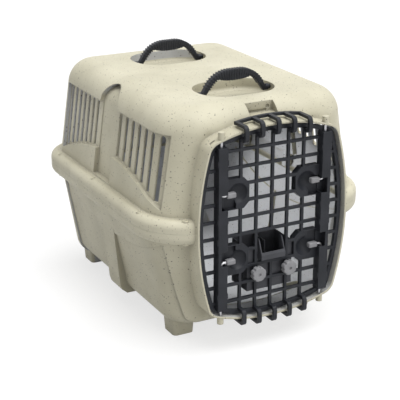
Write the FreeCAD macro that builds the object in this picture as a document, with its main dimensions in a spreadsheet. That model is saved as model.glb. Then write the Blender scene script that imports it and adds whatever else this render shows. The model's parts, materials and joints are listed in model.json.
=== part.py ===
import FreeCAD, Part
import math
import os
import Sketcher

# Hard pet carrier, in millimetres: +Z up, the door faces -Y, Z = 0 is the ground under the feet.
Vector = FreeCAD.Vector
doc = FreeCAD.newDocument("PetCarrier")
sheet = doc.addObject("Spreadsheet::Sheet", "Sizes")

SIZES = [
    ("overall_length", 630.0, "finger fronts to the back of the rim"),
    ("overall_width", 502.0, "across the rim"),
    ("shell_height", 491.0, "ground to the top of the upper shell"),
    ("parting_height", 261.0, "ground to the joint between the two shells, also the door's middle"),
    ("floor_height", 30.0, "ground to the underside of the lower shell"),
    ("wall", 4.0, "moulded wall"),
    ("rim_height", 50.0, "bumper rim, both shells together"),
    ("rim_reach", 20.0, "rim beyond the wall"),
    ("rim_round", 16.0, "rounding along the rim's outer edge"),
    ("rim_front_radius", 117.0, "plan radius of the rim's front corners"),
    ("rim_rear_radius", 92.0, "plan radius of the rim's rear corners"),
    ("rim_step", 4.0, "rim front ahead of the door plane"),
    ("top_narrowing", 32.0, "each side, parting line to top"),
    ("front_lean_top", 17.0, "front wall, parting line to top"),
    ("rear_lean_top", 13.0, "rear wall, parting line to top"),
    ("bottom_narrowing", 44.0, "each side, parting line to floor"),
    ("front_lean_bottom", 42.0, "front wall, parting line to floor"),
    ("rear_lean_bottom", 6.0, "rear wall, parting line to floor"),
    ("top_rounding", 55.0, "edge of the top"),
    ("bottom_rounding", 42.0, "edge of the floor"),
    ("bay_offset", 17.0, "side column's centre behind the middle"),
    ("column_half", 41.0, "half width of the side column"),
    ("vent_depth", 8.0, "vent panel behind the outer skin"),
    ("column_depth", 10.0, "side column behind the outer skin"),
    ("skirt_depth", 4.0, "lower side panel behind the outer skin"),
    ("pier_half", 28.0, "half width of the lower side column"),
    ("pier_offset", 11.0, "lower side column's centre behind the middle"),
    ("pier_top_x", 222.0, "lower side column's face at the rim"),
    ("pier_foot_x", 204.0, "lower side column's face at its foot"),
    ("vent_front_start", 49.5, "first front slot's centre from the column's centre"),
    ("vent_rear_start", 65.0, "first rear slot's centre from the column's centre"),
    ("vent_front_pitch", 29.6, "front vent slots"),
    ("vent_rear_pitch", 23.0, "rear vent slots"),
    ("vent_front_slot", 13.0, "width of a front slot"),
    ("vent_rear_slot", 11.0, "width of a rear slot"),
    ("vent_top", 437.0, "ground to the slots' tops"),
    ("apron_rise", 60.0, "apron arch above the rim"),
    ("foot_length", 58.0, "foot along Y"),
    ("foot_width", 56.0, "foot along X"),
    ("foot_x", 140.0, "foot centre from the middle"),
    ("front_foot_y", 150.0, "front feet behind the overall front"),
    ("rear_foot_y", 55.0, "rear feet ahead of the overall back"),
    ("door_reach", 21.0, "finger fronts ahead of the door plane"),
    ("door_width", 320.0, "door at its widest"),
    ("door_height", 384.0, "door at its tallest"),
    ("door_corner_x", 134.0, "door corner from the middle, along X"),
    ("door_corner_z", 168.0, "door corner from the middle, along Z"),
    ("door_corner_radius", 22.0, "door corner rounding"),
    ("door_gap", 4.0, "door edge to the lip"),
    ("door_frame", 8.0, "door frame width and depth"),
    ("bar_depth", 6.0, "grid bars, front to back"),
    ("bar_width", 5.5, "grid bars, across"),
    ("column_pitch", 35.0, "upright bars"),
    ("row_pitch", 34.3, "level bars"),
    ("lip_lead", 9.0, "lip front ahead of the door plane"),
    ("bolt_x", 115.0, "bolt axis from the middle"),
    ("bolt_lead", 2.0, "bolt axis ahead of the door plane"),
    ("bolt_diameter", 6.0, "bolt rod"),
    ("bolt_tip", 191.0, "bolt tip from the door's middle"),
    ("bolt_leg", 68.5, "bolt leg from the door's middle"),
    ("bolt_travel", 22.0, "pinch travel of each bolt"),
    ("channel_width", 20.0, "bolt channel across"),
    ("channel_half", 166.0, "half height of the bolt channel"),
    ("boss_diameter", 13.0, "bolt socket on the lip"),
    ("boss_top", 196.0, "socket end from the door's middle"),
    ("spring_seat", 79.0, "spring seat from the door's middle"),
    ("spring_length", 35.0, "spring as fitted"),
    ("spring_wire", 0.9, "spring wire"),
    ("spring_radius", 4.9, "mean coil radius"),
    ("spring_turns", 7.0, "coils"),
    ("collar_diameter", 12.0, "spring collar"),
    ("collar_length", 4.0, "spring collar"),
    ("grip_length", 20.0, "finger grip along X"),
    ("grip_depth", 12.0, "finger grip along Y"),
    ("grip_height", 11.0, "finger grip along Z"),
    ("finger_width", 8.0, "lip finger across"),
    ("handle_width", 150.0, "bail across its legs"),
    ("handle_rise", 45.5, "pivot to the top of the bail"),
    ("handle_depth", 13.0, "bail front to back"),
    ("handle_band", 10.0, "bail thickness"),
    ("handle_slant", 34.0, "lean of the bail's legs, in degrees"),
    ("handle_corner", 60.0, "outer radius of the bail's corners"),
    ("handle_sag", 11.0, "extra thickness at the middle of the grip"),
    ("handle_belly", 36.0, "half length of the thicker middle"),
    ("handle_rib", 0.8, "height of the grip ribs"),
    ("rib_pitch", 5.8, "grip ribs"),
    ("rib_width", 2.8, "grip rib"),
    ("pivot_drop", 8.0, "pivot below the top"),
    ("pivot_diameter", 9.0, "bail trunnion"),
    ("recess_length", 168.0, "hand recess along X"),
    ("recess_width", 120.0, "hand recess along Y"),
    ("recess_depth", 24.0, "hand recess"),
    ("front_handle_y", 179.0, "front bail behind the overall front"),
    ("rear_handle_y", 160.0, "rear bail ahead of the overall back"),
    ("notch_half", 31.0, "half width of the notch in the front top edge"),
    ("screw_diameter", 6.0, "rim screw shank"),
    ("screw_head", 12.0, "rim screw head diameter"),
    ("head_height", 4.0, "rim screw head"),
    ("screw_inset", 14.0, "rim screws from the rim's outer face"),
    ("screw_column", 11.5, "radius of the column around each rim screw"),
    ("nut_flats", 11.0, "rim nut across flats"),
    ("nut_height", 5.0, "rim nut"),
    ("cup_width", 102.0, "feed cup along X"),
    ("cup_depth", 66.0, "feed cup along Y"),
    ("cup_height", 92.0, "feed cup along Z"),
    ("cup_wall", 2.5, "feed cup wall"),
    ("cup_round", 7.0, "feed cup's back corners"),
    ("cup_top_drop", 52.0, "feed cup top below the door's middle"),
    ("spout_reach", 15.0, "spout ahead of the cup's front"),
    ("spout_height", 40.0, "spout"),
    ("spout_drop", 26.0, "spout's underside below the cup's top"),
    ("spout_lip", 8.0, "height of the spout's front lip"),
    ("knob_diameter", 30.0, "clamp knob"),
    ("knob_length", 17.0, "clamp knob"),
    ("knob_drop", 102.9, "knobs below the door's middle"),
    ("stud_diameter", 6.0, "clamp stud"),
    ("easy_gap", 0.3, "clearance around loose round pieces"),
    ("running_gap", 0.05, "clearance around pivots"),
]
for line, (alias, value, note) in enumerate(SIZES, start=1):
    sheet.set("A%d" % line, note)
    sheet.set("B%d" % line, "%g" % value)
    sheet.setAlias("B%d" % line, alias)
doc.recompute()


def size(alias):
    return float(getattr(sheet, alias))


# Places worked out from the driving sizes
HALF_WIDTH = size("overall_width") / 2
FRONT = -size("overall_length") / 2
REAR = size("overall_length") / 2
DOOR_Y = FRONT + size("door_reach")
RIM_FRONT = DOOR_Y - size("rim_step")
MID = size("parting_height")
TOP = size("shell_height")
FLOOR = size("floor_height")
WALL = size("wall")
REACH = size("rim_reach")
RIM_TOP = MID + size("rim_height") / 2
RIM_BOTTOM = MID - size("rim_height") / 2
BOLT_Y = DOOR_Y - size("bolt_lead")
LIP_FRONT = DOOR_Y - size("lip_lead")
LIP_INNER = size("door_gap")
LIP_OUTER = size("door_gap") + WALL
FAR = 2 * size("overall_length")
BAY_Y = size("bay_offset")
OVERLAP = 12.0


# Plain solids
def box(x0, x1, y0, y1, z0, z1):
    return Part.makeBox(x1 - x0, y1 - y0, z1 - z0, Vector(x0, y0, z0))


def rod(radius, start, end):
    along = end - start
    return Part.makeCylinder(radius, along.Length, start, along)


def fuse_all(first, others):
    return first.multiFuse(others).removeSplitter()


def arc_edge(centre, radius, start, end, place):
    middle = (start + end) / 2
    points = [place(centre, radius, math.radians(a)) for a in (start, middle, end)]
    return Part.Arc(*points).toShape()


def rounded_plan(half, front, rear, front_r, rear_r, z):
    """Closed outline on a level plane, with its own front and rear corner radii."""
    def place(centre, radius, angle):
        return Vector(centre[0] + radius * math.cos(angle), centre[1] + radius * math.sin(angle), z)

    edges = [
        Part.makeLine(Vector(front_r - half, front, z), Vector(half - front_r, front, z)),
        arc_edge((half - front_r, front + front_r), front_r, -90, 0, place),
        Part.makeLine(Vector(half, front + front_r, z), Vector(half, rear - rear_r, z)),
        arc_edge((half - rear_r, rear - rear_r), rear_r, 0, 90, place),
        Part.makeLine(Vector(half - rear_r, rear, z), Vector(rear_r - half, rear, z)),
        arc_edge((rear_r - half, rear - rear_r), rear_r, 90, 180, place),
        Part.makeLine(Vector(-half, rear - rear_r, z), Vector(-half, front + front_r, z)),
        arc_edge((front_r - half, front + front_r), front_r, 180, 270, place),
    ]
    return Part.Wire(edges)


def edges_at(solid, z):
    return [e for e in solid.Edges if all(abs(p.Point.z - z) < 0.01 for p in e.Vertexes)]


# Shell bodies: the same tapered form at any inset from the outer skin. Each runs a little past the
# parting plane, where the finished shell is trimmed.
def shell_section(z, inset, upper):
    """Outline of the carrier's wall at one height, moved inwards."""
    if upper:
        share = (z - MID) / (TOP - MID)
        leans = ("top_narrowing", "front_lean_top", "rear_lean_top")
        front_loss, rear_loss = 15.0, 10.0
    else:
        share = (MID - z) / (MID - FLOOR)
        leans = ("bottom_narrowing", "front_lean_bottom", "rear_lean_bottom")
        front_loss, rear_loss = 37.0, 22.0
    narrow, front_lean, rear_lean = (size(n) for n in leans)
    return rounded_plan(
        HALF_WIDTH - REACH - share * narrow - inset,
        RIM_FRONT + REACH + share * front_lean + inset,
        REAR - REACH - share * rear_lean - inset,
        size("rim_front_radius") - REACH - share * front_loss - inset,
        size("rim_rear_radius") - REACH - share * rear_loss - inset,
        z)


def past_middle(z_end):
    return MID - OVERLAP if z_end > MID else MID + OVERLAP


def tapered_body(end_z, inset, rounding):
    """Solid from the parting plane to one end, with the end's edge rounded."""
    upper = end_z > MID
    sections = [shell_section(z, inset, upper) for z in (past_middle(end_z), end_z)]
    loft = Part.makeLoft(sections, True, True)
    return loft.makeFillet(rounding, edges_at(loft, end_z))


def upper_body(inset):
    return tapered_body(TOP - inset, inset, size("top_rounding") - inset)


def lower_body(inset):
    return tapered_body(FLOOR + inset, inset, size("bottom_rounding") - inset)


def rim_band(upper, inset):
    """Rim of one shell at any inset, rounded along the edge away from the parting plane."""
    z_edge = RIM_TOP - inset if upper else RIM_BOTTOM + inset
    z_start = past_middle(z_edge)
    plan = rounded_plan(HALF_WIDTH - inset, RIM_FRONT + inset, REAR - inset,
                        size("rim_front_radius") - inset, size("rim_rear_radius") - inset, z_start)
    band = Part.Face(plan).extrude(Vector(0, 0, z_edge - z_start))
    return band.makeFillet(size("rim_round") - inset, edges_at(band, z_edge))


def rim_hollow(upper):
    """Space inside the rim, kept clear of the door's lip."""
    hollow = rim_band(upper, WALL)
    keep = size("door_width") / 2 + LIP_OUTER + WALL
    return hollow.cut(box(-keep, keep, FRONT - 1, RIM_FRONT + 45, 0, TOP))


# Door outline: two flat arches and two bowed sides with rounded corners
def barrel_wire(grow, y):
    half_w = size("door_width") / 2
    half_h = size("door_height") / 2
    corner_x = size("door_corner_x")
    corner_z = size("door_corner_z")
    corner_r = size("door_corner_radius")
    side_r = ((half_w - corner_x) ** 2 + corner_z ** 2) / (2 * (half_w - corner_x))
    arch_r = ((half_h - corner_z) ** 2 + corner_x ** 2) / (2 * (half_h - corner_z))
    side_c = Vector(half_w - side_r, 0, 0)
    arch_c = Vector(0, 0, half_h - arch_r)
    across = arch_c - side_c
    unit = Vector(across).normalize()
    normal = Vector(-unit.z, 0, unit.x)
    near, far = side_r - corner_r, arch_r - corner_r
    along = (across.Length ** 2 + near ** 2 - far ** 2) / (2 * across.Length)
    reach = math.sqrt(near ** 2 - along ** 2)
    meets = [side_c + unit * along + normal * side for side in (reach, -reach)]
    corner = max(meets, key=lambda p: p.x + p.z)
    to_side = (corner - side_c).normalize()
    to_arch = (corner - arch_c).normalize()
    side_end = side_c + to_side * (side_r + grow)
    arch_end = arch_c + to_arch * (arch_r + grow)
    corner_mid = corner + (to_side + to_arch).normalize() * (corner_r + grow)

    def at(point, sx, sz):
        return Vector(point.x * sx, y, MID + point.z * sz)

    side_mid = Vector(half_w + grow, 0, 0)
    arch_mid = Vector(0, 0, half_h + grow)
    edges = [
        Part.Arc(at(side_end, 1, -1), at(side_mid, 1, 1), at(side_end, 1, 1)),
        Part.Arc(at(side_end, 1, 1), at(corner_mid, 1, 1), at(arch_end, 1, 1)),
        Part.Arc(at(arch_end, 1, 1), at(arch_mid, 1, 1), at(arch_end, -1, 1)),
        Part.Arc(at(arch_end, -1, 1), at(corner_mid, -1, 1), at(side_end, -1, 1)),
        Part.Arc(at(side_end, -1, 1), at(side_mid, -1, 1), at(side_end, -1, -1)),
        Part.Arc(at(side_end, -1, -1), at(corner_mid, -1, -1), at(arch_end, -1, -1)),
        Part.Arc(at(arch_end, -1, -1), at(arch_mid, 1, -1), at(arch_end, 1, -1)),
        Part.Arc(at(arch_end, 1, -1), at(corner_mid, 1, -1), at(side_end, 1, -1)),
    ]
    return Part.Wire([e.toShape() for e in edges])


def barrel(grow, y0, y1):
    return Part.Face(barrel_wire(grow, y0)).extrude(Vector(0, y1 - y0, 0))


def arch_radius():
    drop = size("door_height") / 2 - size("door_corner_z")
    return (drop ** 2 + size("door_corner_x") ** 2) / (2 * drop)


def arch_sag(x):
    return arch_radius() - math.sqrt(arch_radius() ** 2 - x ** 2)


# Side bays of the shells
def bay_wire(points, arc_middle):
    """Outline across the width: an arc from the first point to the last, straight lines between the rest."""
    spots = [Vector(-FAR, y, z) for y, z in points]
    edges = [Part.Arc(spots[-1], Vector(-FAR, *arc_middle), spots[0]).toShape()]
    edges += [Part.makeLine(a, b) for a, b in zip(spots, spots[1:])]
    return Part.Face(Part.Wire(edges)).extrude(Vector(2 * FAR, 0, 0))


BAY_FRONT = FRONT + 83.0
BAY_REAR = REAR - 83.0
BAY_MIDDLE = (BAY_FRONT + BAY_REAR) / 2
APRON_FOOT = 11.0


def vent_bay(grow):
    """Area of the upper side above the apron arch."""
    foot = RIM_TOP + APRON_FOOT - grow
    crest = RIM_TOP + size("apron_rise") - grow
    lid = size("vent_top") + 5 + grow
    near, far = BAY_FRONT - grow, BAY_REAR + grow
    corners = [(near, foot), (near, lid), (far, lid), (far, foot)]
    return bay_wire(corners, (BAY_MIDDLE, crest))


def skirt_bay(grow):
    """Area of the lower side below the mirrored apron arch."""
    foot = RIM_BOTTOM - APRON_FOOT + grow
    crest = RIM_BOTTOM - size("apron_rise") + grow
    near, far = BAY_FRONT - grow, BAY_REAR + grow
    corners = [(near, foot), (near, -1), (far, -1), (far, foot)]
    return bay_wire(corners, (BAY_MIDDLE, crest))


def upper_column(grow):
    half = size("column_half") + grow
    spring_line = TOP - 8 - size("column_half")
    foot = RIM_TOP + 3 - grow
    near, far = BAY_Y - half, BAY_Y + half
    corners = [(near, spring_line), (near, foot), (far, foot), (far, spring_line)]
    return bay_wire(corners, (BAY_Y, spring_line + half))


def piers(inset):
    """Columns on the lower sides that stand out towards the floor, and the spaces in them."""
    half = size("pier_half") - inset
    y0, y1 = size("pier_offset") - half, size("pier_offset") + half
    foot_x = size("pier_foot_x") - inset
    foot_z = FLOOR + 3 + inset
    root = size("foot_x")
    profile = [(root, RIM_BOTTOM + 4), (size("pier_top_x") - inset, RIM_BOTTOM + 4), (foot_x, foot_z + 22),
               (foot_x - 4, foot_z + 10), (foot_x - 16, foot_z), (root, foot_z), (root, RIM_BOTTOM + 4)]
    solids = []
    for side in (-1, 1):
        face = Part.Face(Part.makePolygon([Vector(side * x, y0, z) for x, z in profile]))
        solids.append(face.extrude(Vector(0, y1 - y0, 0)))
    return solids


def screw_places():
    """Rim screws: one pair by the lip, three pairs along the sides, one pair at the back."""
    radius = size("rim_front_radius") - 12
    turn = math.radians(26)
    x_front = HALF_WIDTH - size("rim_front_radius") + radius * math.sin(turn)
    y_front = RIM_FRONT + size("rim_front_radius") - radius * math.cos(turn)
    x_side = HALF_WIDTH - size("screw_inset")
    y_back = REAR - size("screw_inset")
    right = [(x_front, y_front), (x_side, FRONT + 124), (x_side, BAY_Y + 15), (x_side, REAR - 99), (110.0, y_back)]
    return right + [(-x, y) for x, y in right]


def lip_plug():
    """Solid form of the door's lip; the opening is cut out of it later."""
    return barrel(LIP_OUTER, LIP_FRONT, DOOR_Y + 80)


def bolt_bosses(side):
    """Sockets on the lip for the bolts of one shell, and the holes in them."""
    ends = []
    holes = []
    lip_z = size("door_height") / 2 + LIP_INNER - arch_sag(size("bolt_x"))
    hole_r = size("bolt_diameter") / 2 + size("running_gap")
    for x in (-size("bolt_x"), size("bolt_x")):
        ends.append(rod(size("boss_diameter") / 2, Vector(x, BOLT_Y, MID + side * (lip_z + 1)),
                        Vector(x, BOLT_Y, MID + side * size("boss_top"))))
        holes.append(rod(hole_r, Vector(x, BOLT_Y, MID + side * (lip_z - 12)),
                         Vector(x, BOLT_Y, MID + side * (size("bolt_tip") + 2))))
    return ends, holes


# Upper shell
HANDLE_YS = {"front": FRONT + size("front_handle_y"), "rear": REAR - size("rear_handle_y")}
PIVOT_Z = TOP - size("pivot_drop")


def hand_recess(y, grow):
    half = size("recess_length") / 2 + grow
    radius = size("recess_width") / 2 + grow
    depth = size("recess_depth") + grow
    plan = rounded_plan(half, y - radius, y + radius, radius - 4, radius - 4, TOP - depth)
    pit = Part.Face(plan).extrude(Vector(0, 0, depth + 1))
    return pit.makeFillet(8 + grow, edges_at(pit, TOP - depth))


def upper_shell_shape():
    vent_step, column_step = size("vent_depth"), size("column_depth")
    outer = upper_body(0).fuse(rim_band(True, 0)).fuse(lip_plug())
    outer = outer.cut(vent_bay(0).cut(upper_body(vent_step))).cut(upper_column(0).cut(upper_body(column_step)))
    inner = upper_body(WALL).fuse(rim_hollow(True))
    inner = inner.cut(vent_bay(WALL).cut(upper_body(vent_step + WALL)))
    inner = inner.cut(upper_column(WALL).cut(upper_body(column_step + WALL)))
    notch = size("notch_half")
    notch_back = DOOR_Y + 60
    notch_floor = TOP - 26
    outer = outer.cut(box(-notch, notch, FRONT, notch_back, notch_floor, TOP + 1))
    inner = inner.cut(box(-notch - WALL, notch + WALL, FRONT, notch_back + WALL, notch_floor - WALL, TOP + 1))
    pivots = []
    pivot_holes = []
    tip = size("recess_length") / 2
    hole_r = size("pivot_diameter") / 2 + size("running_gap")

    def across(radius, side, y, start, end):
        return rod(radius, Vector(side * start, y, PIVOT_Z), Vector(side * end, y, PIVOT_Z))

    for y in HANDLE_YS.values():
        outer = outer.cut(hand_recess(y, 0))
        inner = inner.cut(hand_recess(y, WALL))
        for side in (-1, 1):
            pivots.append(across(9.0, side, y, tip + 1, tip + 12))
            pivot_holes.append(across(hole_r, side, y, tip - 20, tip + 9))
    below_top = box(-FAR, FAR, -FAR, FAR, 0, TOP)
    bosses, boss_holes = bolt_bosses(1)
    column_r = size("screw_column")
    columns = [rod(column_r, Vector(x, y, MID - 5), Vector(x, y, RIM_TOP - 1)) for x, y in screw_places()]
    inside_rim = rim_band(True, WALL / 2)
    added = bosses + [p.common(below_top) for p in pivots] + [c.common(inside_rim) for c in columns]
    shell = fuse_all(outer.cut(inner), added)
    cuts = [barrel(LIP_INNER, FRONT, DOOR_Y + 81)] + boss_holes + pivot_holes
    for x, y in screw_places():
        bore = size("screw_diameter") / 2 + size("easy_gap")
        sink = size("screw_head") / 2 + size("easy_gap")
        cuts.append(rod(bore, Vector(x, y, MID - OVERLAP), Vector(x, y, RIM_TOP + 1)))
        cuts.append(rod(sink, Vector(x, y, RIM_TOP - size("head_height")), Vector(x, y, RIM_TOP + 1)))
    sink_back = notch_back + 0.6 * WALL
    cuts.append(rod(4.0, Vector(20, notch_back - 1, notch_floor + 9), Vector(20, sink_back, notch_floor + 9)))
    cuts.append(box(-22, 18, notch_back - 1, sink_back, notch_floor, notch_floor + 5))
    cuts.append(box(-136, -126, DOOR_Y + 2, DOOR_Y + 7, MID + 150, MID + 210))
    cuts.append(box(126, 136, DOOR_Y + 2, DOOR_Y + 7, MID + 150, MID + 210))
    return shell.cut(cuts + vent_slots()).common(box(-FAR, FAR, -FAR, FAR, MID, FAR))


def slot_prism(y, width):
    """One vent slot through both sides, round at its top and ending above the apron arch."""
    half = width / 2
    crest = RIM_TOP + size("apron_rise")
    foot = RIM_TOP + APRON_FOOT
    run = (BAY_REAR - BAY_FRONT) / 2
    rise = crest - foot
    radius = (run ** 2 + rise ** 2) / (2 * rise)
    low = crest - radius + math.sqrt(radius ** 2 - (y - BAY_MIDDLE) ** 2) + 2
    spring_line = size("vent_top") - half
    upright = box(-FAR, FAR, y - half, y + half, low, spring_line)
    return upright.fuse(rod(half, Vector(-FAR, y, spring_line), Vector(FAR, y, spring_line)))


def vent_slots():
    slots = []
    for i in range(7):
        front = BAY_Y - size("vent_front_start") - i * size("vent_front_pitch")
        rear = BAY_Y + size("vent_rear_start") + i * size("vent_rear_pitch")
        slots.append(slot_prism(front, size("vent_front_slot")))
        slots.append(slot_prism(rear, size("vent_rear_slot")))
    return slots


# Lower shell
def foot_body(x, y, inset):
    half_x = size("foot_width") / 2 - inset
    half_y = size("foot_length") / 2 - inset
    lid = FLOOR + size("bottom_rounding") + 6
    wires = []
    for z, shrink in ((inset, 5.0), (lid, 0.0)):
        wires.append(rounded_plan(half_x - shrink, -half_y + shrink, half_y - shrink, 9.0, 9.0, z))
    foot = Part.makeLoft(wires, True, True)
    foot.translate(Vector(x, y, 0))
    return foot


def lower_shell_shape():
    skirt_step = size("skirt_depth")
    outer = lower_body(0).fuse(rim_band(False, 0)).fuse(lip_plug())
    outer = outer.cut(skirt_bay(0).cut(lower_body(skirt_step))).multiFuse(piers(0))
    inner = lower_body(WALL).fuse(rim_hollow(False))
    inner = inner.cut(skirt_bay(WALL).cut(lower_body(skirt_step + WALL)))
    inner = inner.multiFuse(piers(WALL))
    spots = [(s * size("foot_x"), y) for s in (-1, 1)
             for y in (FRONT + size("front_foot_y"), REAR - size("rear_foot_y"))]
    outer = outer.multiFuse([foot_body(x, y, 0) for x, y in spots])
    inner = inner.multiFuse([foot_body(x, y, WALL) for x, y in spots])
    bosses, boss_holes = bolt_bosses(-1)
    column_r = size("screw_column")
    columns = [rod(column_r, Vector(x, y, RIM_BOTTOM + 1), Vector(x, y, MID + 5)) for x, y in screw_places()]
    inside_rim = rim_band(False, WALL / 2)
    added = bosses + [c.common(inside_rim) for c in columns]
    shell = fuse_all(outer.cut(inner), added)
    cuts = [barrel(LIP_INNER, FRONT, DOOR_Y + 81)] + boss_holes
    for x, y in screw_places():
        bore = size("screw_diameter") / 2 + size("easy_gap")
        cuts.append(rod(bore, Vector(x, y, RIM_BOTTOM - 1), Vector(x, y, MID + OVERLAP)))
        pocket = hex_prism(size("nut_flats") + 2 * size("easy_gap"), size("nut_height") + 2)
        pocket.translate(Vector(x, y, RIM_BOTTOM - 2))
        cuts.append(pocket)
    return shell.cut(cuts).common(box(-FAR, FAR, -FAR, FAR, 0, MID))


def hex_prism(flats, length):
    radius = flats / math.sqrt(3)
    points = [Vector(radius * math.cos(math.radians(60 * i)), radius * math.sin(math.radians(60 * i)), 0)
              for i in range(7)]
    return Part.Face(Part.makePolygon(points)).extrude(Vector(0, 0, length))


# Door grid
def level_bars():
    return [(4.5 - i) * size("row_pitch") for i in range(10)]


def grid_cells():
    """Openings between the bars; a window over two rows is left free for the cup's spout."""
    half = size("bar_width") / 2
    pitch = size("column_pitch")
    channel = size("channel_width") / 2
    uprights = [i * pitch for i in range(-2, 3)]
    spans = [(-FAR, -size("bolt_x") - channel), (-size("bolt_x") + channel, uprights[0] - half)]
    spans += [(a + half, b - half) for a, b in zip(uprights, uprights[1:])]
    spans += [(uprights[-1] + half, size("bolt_x") - channel), (size("bolt_x") + channel, FAR)]
    levels = [FAR] + level_bars() + [-FAR]
    cells = []
    for high, low in zip(levels, levels[1:]):
        for left, right in spans:
            cells.append(box(left, right, DOOR_Y - 30, DOOR_Y + 30, MID + low + half, MID + high - half))
    window = pitch - half
    window_low, window_high = MID + levels[8] + half, MID + levels[6] - half
    cells.append(box(-window, window, DOOR_Y - 30, DOOR_Y + 30, window_low, window_high))
    return cells


def lip_finger(x, side):
    """Hook that passes in front of the lip and lies back over it, in the plane of one upright bar."""
    half = size("finger_width") / 2
    lip_z = size("door_height") / 2 + LIP_OUTER - arch_sag(x)
    front = FRONT
    arm = 6.0
    back = DOOR_Y + 24
    low = lip_z - 22
    high = lip_z + 11
    slab = Part.makeBox(2 * half, back - front, high - low, Vector(x - half, front, low))
    nose = [e for e in slab.Edges if all(abs(p.Point.y - front) < 0.01 for p in e.Vertexes)
            and abs(e.Vertexes[0].Point.z - e.Vertexes[1].Point.z) < 0.01]
    slab = slab.makeFillet(10.0, nose)
    gap_corner = Vector(x - half - 1, front + arm, low + arm + 1)
    gap = Part.makeBox(2 * half + 2, FAR, high - low - 2 * arm - 1, gap_corner)
    gap_nose = [e for e in gap.Edges if all(abs(p.Point.y - front - arm) < 0.01 for p in e.Vertexes)
                and abs(e.Vertexes[0].Point.z - e.Vertexes[1].Point.z) < 0.01]
    finger = slab.cut(gap.makeFillet(5.0, gap_nose))
    finger = finger.cut(box(x - half - 1, x + half + 1, DOOR_Y, FAR, low - 1, low + arm + 2))
    if side < 0:
        finger = finger.mirror(Vector(0, 0, 0), Vector(0, 0, 1))
    finger.translate(Vector(0, 0, MID))
    return finger


def finger_comb(side):
    """Row of lip fingers, and the curved bar that joins their back ends."""
    reach = 2 * size("column_pitch") + size("finger_width") / 2
    centre_z = size("door_height") / 2 - arch_radius()
    inner_r = arch_radius() + LIP_OUTER + 5
    bar_front, bar_back = Vector(0, DOOR_Y + 17, centre_z), Vector(0, DOOR_Y + 24, centre_z)
    ring = rod(inner_r + 6, bar_front, bar_back).cut(rod(inner_r, bar_front, bar_back))
    bar = ring.common(box(-reach, reach, -FAR, FAR, 0, FAR))
    if side < 0:
        bar = bar.mirror(Vector(0, 0, 0), Vector(0, 0, 1))
    bar.translate(Vector(0, 0, MID))
    return fuse_all(bar, [lip_finger(i * size("column_pitch"), side) for i in range(-2, 3)])


def well_plate(sx, sz):
    """Thick plate beside one bolt leg, with a finger bowl and room for the grip's travel."""
    inner, outer = 52.0, size("bolt_x") - size("channel_width") / 2
    low, high = size("bolt_leg") - 32, size("bolt_leg") + 30
    cut = 12.0
    front, back = DOOR_Y, DOOR_Y + 15
    corners = [(inner + cut, low), (outer + 1, low), (outer + 1, high), (inner + cut, high)]
    corners += [(inner, high - cut), (inner, low + cut), (inner + cut, low)]
    face = Part.Face(Part.makePolygon([Vector(sx * x, front, MID + sz * z) for x, z in corners]))
    plate = face.extrude(Vector(0, back - front, 0))
    bowl = Part.makeSphere(24.0, Vector(sx * 77, DOOR_Y - 12, MID + sz * size("bolt_leg")))
    low_end = size("bolt_leg") - size("bolt_travel") - size("grip_height") / 2 - 3
    high_end = size("bolt_leg") + size("grip_height") / 2 + 3
    x0, x1 = sorted((sx * 81, sx * (outer + 0.5)))
    z0, z1 = sorted((MID + sz * low_end, MID + sz * high_end))
    trough = box(x0, x1, DOOR_Y - 30, DOOR_Y + 8, z0, z1)
    return plate, [bowl, trough]


def bolt_bores(sx):
    """Clear ways for the two bolts of one side, out through the door's frame."""
    x = sx * size("bolt_x")
    radius = size("bolt_diameter") / 2 + size("easy_gap")
    reach = size("door_height") / 2
    ends = [(MID + sz * 40, MID + sz * reach) for sz in (-1, 1)]
    return [rod(radius, Vector(x, BOLT_Y, start), Vector(x, BOLT_Y, end)) for start, end in ends]


def bolt_channel(sx):
    """Upright channel for two bolts: open at the front, with spring seats, guides and side windows."""
    x = sx * size("bolt_x")
    half = size("channel_width") / 2
    long = size("channel_half")
    front, back = DOOR_Y - 9, DOOR_Y + 8
    channel = box(x - half, x + half, front, back, MID - long, MID + long)
    trench = box(x - half + 3, x + half - 3, front - 1, back - 3, MID - long + 4, MID + long - 4)
    guide_z = size("spring_seat") + size("spring_length") + size("collar_length")
    webs = []
    windows = []
    window_low = size("bolt_leg") - size("bolt_travel") - size("bolt_diameter") / 2 - 1.5
    window_high = size("bolt_leg") + size("bolt_diameter") / 2 + 1.5
    for sz in (-1, 1):
        for z0, z1 in ((size("spring_seat") - 4, size("spring_seat")), (guide_z, guide_z + 4)):
            low, high = sorted((MID + sz * z0, MID + sz * z1))
            webs.append(box(x - half + 2, x + half - 2, front, back - 2, low, high))
        low, high = sorted((MID + sz * window_low, MID + sz * window_high))
        x0, x1 = sorted((x - sx * (half + 1), x))
        windows.append(box(x0, x1, front - 1, back - 3, low, high))
    return channel, trench.cut(webs), windows


def bolt_housing(sx):
    """Bolt channel with its two finger wells, and the space that they take out of the grid."""
    channel, trench, windows = bolt_channel(sx)
    plates = []
    cuts = [trench] + windows + bolt_bores(sx)
    for sz in (-1, 1):
        plate, hollows = well_plate(sx, sz)
        plates.append(plate)
        cuts += hollows
    return channel.multiFuse(plates).cut(cuts), [channel] + plates


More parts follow.
